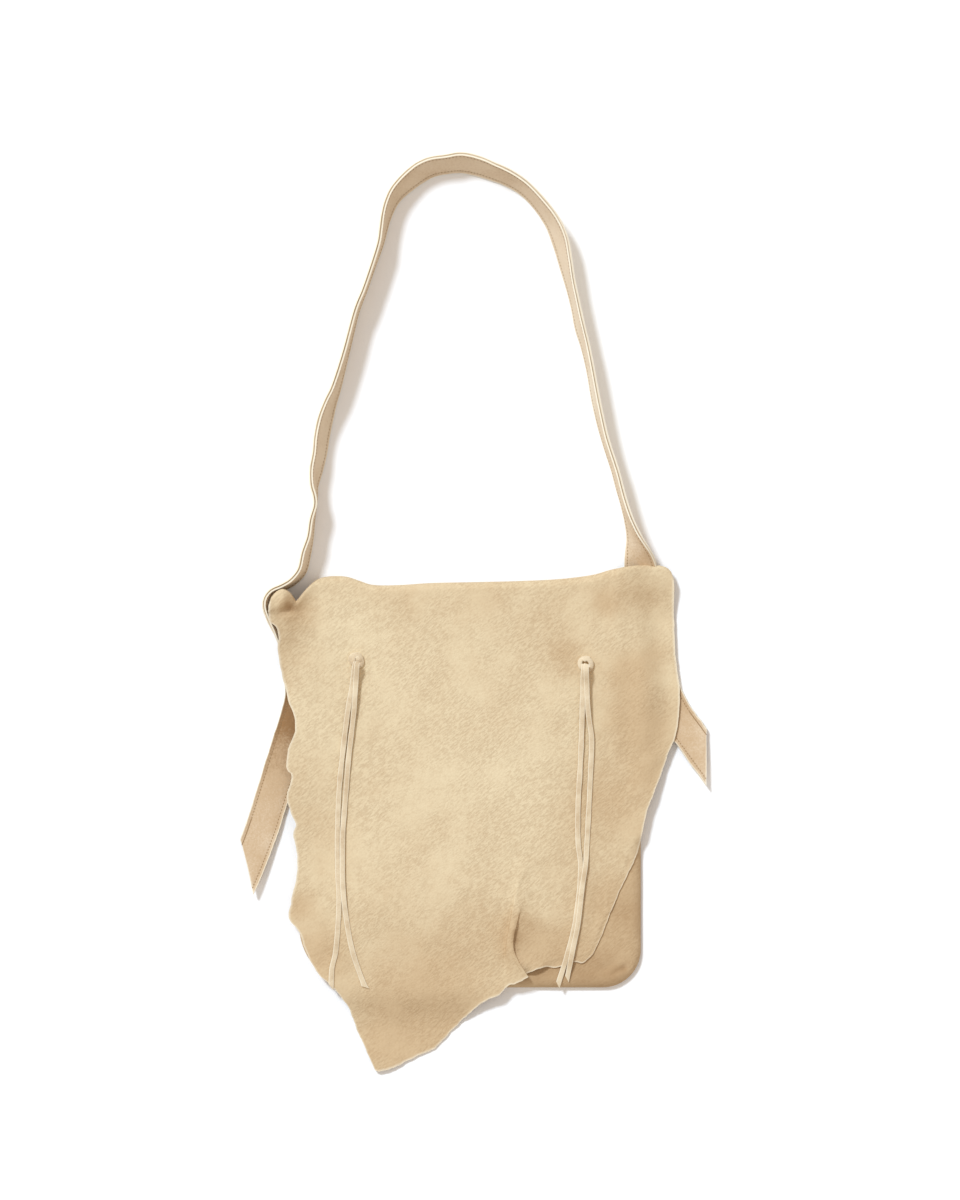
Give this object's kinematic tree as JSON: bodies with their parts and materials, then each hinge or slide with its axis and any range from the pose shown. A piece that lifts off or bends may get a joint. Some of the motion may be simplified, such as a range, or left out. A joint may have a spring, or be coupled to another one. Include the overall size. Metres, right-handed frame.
{
  "type": "deerskin shoulder bag",
  "caption": "Soft deerskin shoulder bag lying flat: open pouch, fold-over flap with the hide's natural edge, lace ties and a doubled leather strap with hanging tails.",
  "frame": {"origin": "the middle of the back's flat underside, on the plane that the bag lies on", "axes": "+Y runs from the pouch's bottom to the strap, +Z comes out of the front, +X is to the right seen from the front"},
  "size_m": [0.4665, 0.9183, 0.0357],
  "materials": {
    "hide": "matte",
    "strap_hide": "matte",
    "lace": "matte"
  },
  "bodies": {
    "bag": {"back_panel": "hide", "front_panel": "hide", "strap_inner_layer": "strap_hide", "strap_outer_layer": "strap_hide"},
    "flap": {"flap": "hide", "lace_left_knot": "lace", "lace_left_strand_a": "lace", "lace_left_strand_b": "lace", "lace_right_knot": "lace", "lace_right_strand_a": "lace", "lace_right_strand_b": "lace"}
  },
  "joints": [
    {"name": "flap_hinge", "type": "hinge", "parent": "bag", "child": "flap", "pos_m": [0, 0.172, 0.03705], "axis": [-1, 0, 0], "range_deg": [0, 150]}
  ]
}
